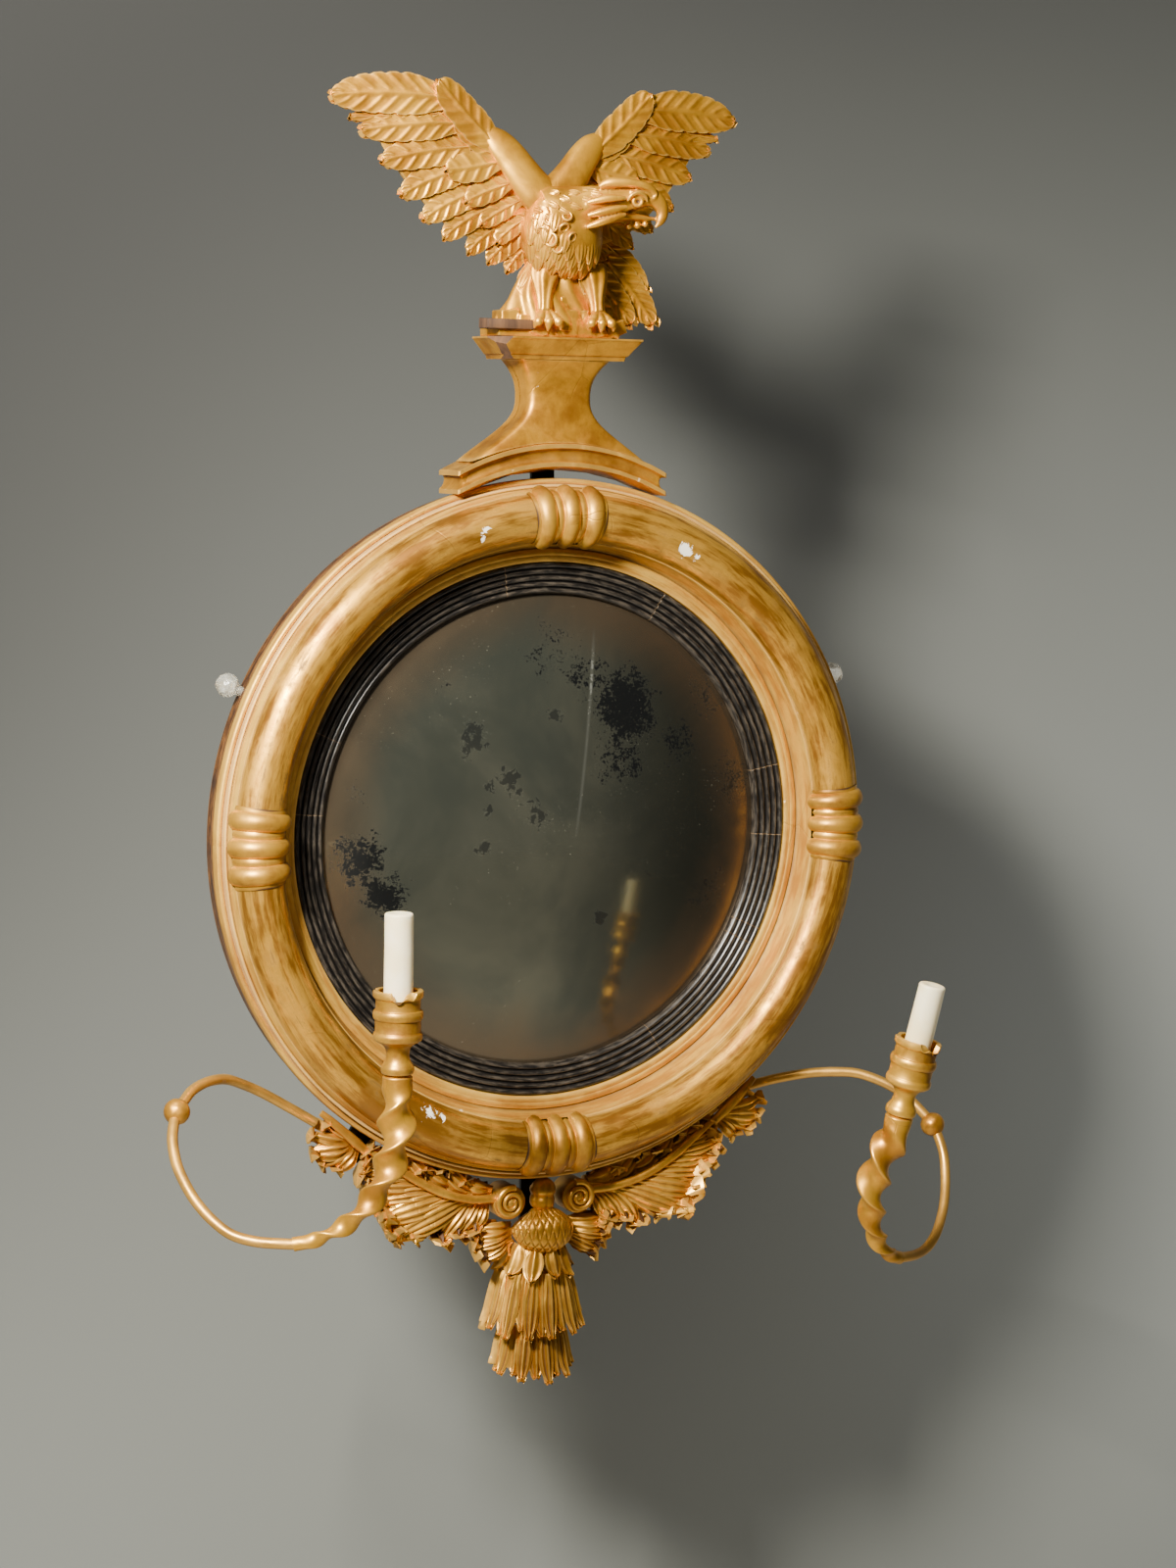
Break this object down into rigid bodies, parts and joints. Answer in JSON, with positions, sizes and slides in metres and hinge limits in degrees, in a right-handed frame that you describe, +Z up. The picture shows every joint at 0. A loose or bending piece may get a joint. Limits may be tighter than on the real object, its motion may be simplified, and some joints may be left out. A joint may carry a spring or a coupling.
{
  "type": "girandole mirror",
  "caption": "Round convex mirror in a gilt half-round frame with an ebonised reeded slip, an eagle crest on a waisted pedestal, twisted candle arms and a carved leaf apron.",
  "frame": {"origin": "centre of the round frame on the wall plane, at the back of the backboard", "axes": "+X to the right as seen from the room, +Y back into the wall, +Z up"},
  "size_m": [0.6992, 0.2535, 1.0621],
  "materials": {
    "gilt_wood": "water gilding on gesso and red-brown bole, rubbed and worn",
    "matte_gilt_wood": "matte oil gilding, orange-brown where worn",
    "ebonised_wood": "ebonised, reeded, satin with hairline cracks",
    "mirror_glass": "convex silvered plate, dark and foxed",
    "pine": "old bare pine",
    "iron": "dark wrought iron",
    "gilt_iron": "wrought iron rod under worn gilding",
    "candle_wax": "cream wax, unlit",
    "clear_glass": "clear moulded glass, dusty"
  },
  "bodies": {
    "frame": {"frame_ring": "matte_gilt_wood", "torus_moulding": "gilt_wood", "clasp_top": "gilt_wood", "clasp_left": "gilt_wood", "clasp_bottom": "gilt_wood", "clasp_right": "gilt_wood", "pedestal_base": "gilt_wood", "pedestal_neck": "gilt_wood", "pedestal_slab": "gilt_wood", "rock": "gilt_wood", "eagle_body": "gilt_wood", "wing_left": "gilt_wood", "wing_right": "gilt_wood", "tail": "gilt_wood", "leg_left": "gilt_wood", "leg_right": "gilt_wood", "apron_spray_left": "gilt_wood", "apron_spray_right": "gilt_wood", "apron_tip_leaf_left": "gilt_wood", "apron_tip_leaf_right": "gilt_wood", "volute_left": "gilt_wood", "volute_right": "gilt_wood", "centre_bud": "gilt_wood", "pineapple_dome": "gilt_wood", "leaf_collar": "gilt_wood", "upper_drop": "gilt_wood", "lower_drop": "gilt_wood", "side_fan_left": "gilt_wood", "side_fan_right": "gilt_wood", "ebonised_slip": "ebonised_wood", "mirror_plate": "mirror_glass", "backboard": "pine", "backboard_screw_1": "iron", "backboard_screw_2": "iron", "backboard_screw_3": "iron", "backboard_screw_4": "iron", "hanging_plate_left": "iron", "hanging_plate_right": "iron", "hanging_plate_screw_left": "iron", "hanging_plate_screw_right": "iron", "crest_strap": "iron", "crest_strap_screw": "iron", "apron_strap": "iron", "apron_strap_screw": "iron", "left_strap": "iron", "left_strap_screw": "iron", "right_strap": "iron", "right_strap_screw": "iron", "side_knob_left": "clear_glass", "side_knob_right": "clear_glass"},
    "arm_left": {"arm_rod_left": "gilt_iron", "rod_ball_left": "gilt_iron", "twisted_horn_left": "gilt_wood"},
    "arm_right": {"arm_rod_right": "gilt_iron", "rod_ball_right": "gilt_iron", "twisted_horn_right": "gilt_wood"},
    "nozzle_left_body": {"nozzle_left": "gilt_wood"},
    "nozzle_right_body": {"nozzle_right": "gilt_wood"},
    "candle_left_body": {"candle_left": "candle_wax"},
    "candle_right_body": {"candle_right": "candle_wax"}
  },
  "joints": [
    {"name": "arm_turn_left", "type": "hinge", "parent": "frame", "child": "arm_left", "pos_m": [-0.15845, -0.0063, -0.25357], "axis": [0, -1, 0], "range_deg": [-4, 12]},
    {"name": "arm_turn_right", "type": "hinge", "parent": "frame", "child": "arm_right", "pos_m": [0.15845, -0.0063, -0.25357], "axis": [0, 1, 0], "range_deg": [-4, 12]},
    {"name": "nozzle_turn_left", "type": "hinge", "parent": "arm_left", "child": "nozzle_left_body", "pos_m": [-0.2067, -0.213, -0.151], "axis": [0, 0, 1], "continuous": true},
    {"name": "nozzle_turn_right", "type": "hinge", "parent": "arm_right", "child": "nozzle_right_body", "pos_m": [0.2213, -0.22604, -0.21213], "axis": [0.1602, -0.143, 0.9767], "continuous": true},
    {"name": "candle_lift_left", "type": "slide", "parent": "nozzle_left_body", "child": "candle_left_body", "axis": [0, 0, 1], "range_m": [0, 0.03]},
    {"name": "candle_lift_right", "type": "slide", "parent": "nozzle_right_body", "child": "candle_right_body", "axis": [0.1602, -0.143, 0.9767], "range_m": [0, 0.03]}
  ]
}
